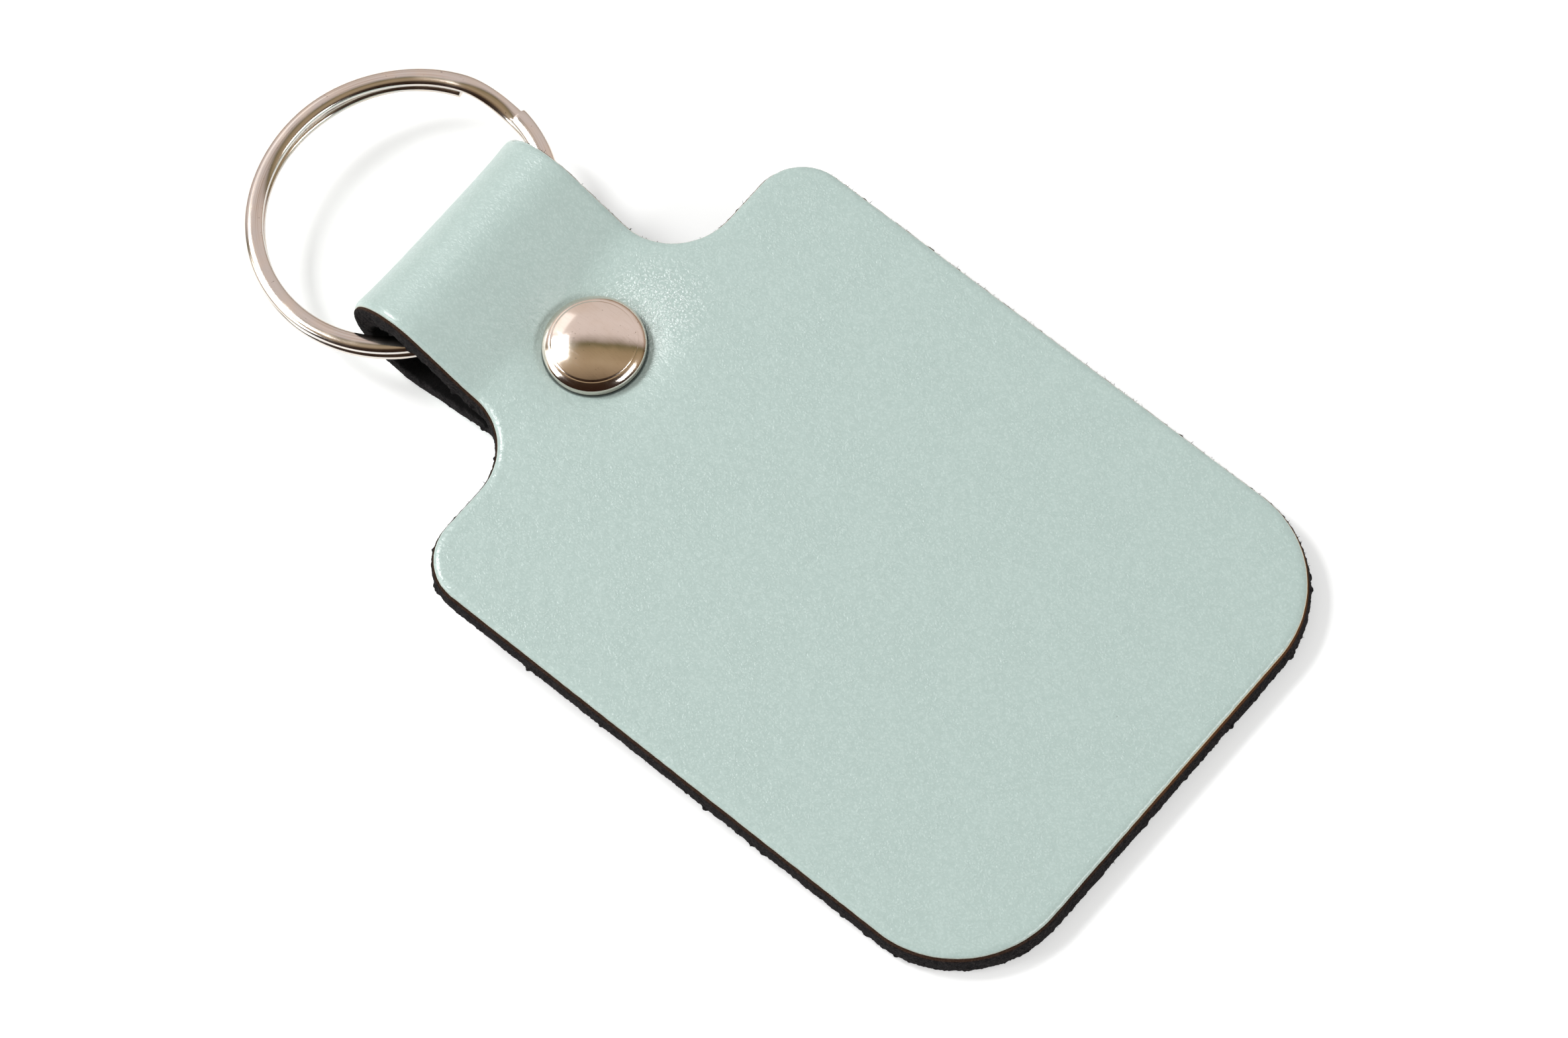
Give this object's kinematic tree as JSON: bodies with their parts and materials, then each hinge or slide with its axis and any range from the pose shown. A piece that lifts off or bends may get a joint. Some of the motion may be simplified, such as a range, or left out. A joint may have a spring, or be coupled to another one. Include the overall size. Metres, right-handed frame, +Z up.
{
  "type": "leather key ring",
  "caption": "Leather key fob: a coated leather blank with a rounded panel, its neck folded round a split ring and held by a domed rivet. The leather flexes and the ring turns.",
  "frame": {"origin": "centre of the bounding box on the surface that the fob lies on", "axes": "+Y from the panel's bottom edge to the split ring, +Z up out of the coated face, +X across the panel"},
  "size_m": [0.045, 0.0898, 0.0108],
  "materials": {
    "leather_face": "mint coated face with a fine pebbled grain, satin",
    "leather_core": "charcoal fibre core, raw fuzzy cut edge",
    "nickel": "bright nickel plate with fine scratches",
    "ring_nickel": "nickel-plated spring steel wire, slightly dull",
    "rivet_steel": "plain plated steel, hidden"
  },
  "bodies": {
    "panel": {"panel_core": "leather_core", "panel_face": "leather_face"},
    "loop": {"loop_core": "leather_core", "loop_face": "leather_face", "rivet_front_cap": "nickel", "rivet_back_cap": "nickel", "rivet_socket": "rivet_steel", "rivet_post": "rivet_steel"},
    "ring": {"split_ring": "ring_nickel"}
  },
  "joints": [
    {"name": "neck_flex", "type": "hinge", "parent": "panel", "child": "loop", "pos_m": [0, 0.00197, 0.00499], "axis": [1, 0, 0], "range_deg": [-30, 30], "stiffness_Nm_per_rad": 0.2},
    {"name": "ring_spin", "type": "hinge", "parent": "loop", "child": "ring", "pos_m": [0, 0.03237, 0.00517], "axis": [0, 0.0066, 1], "continuous": true}
  ]
}
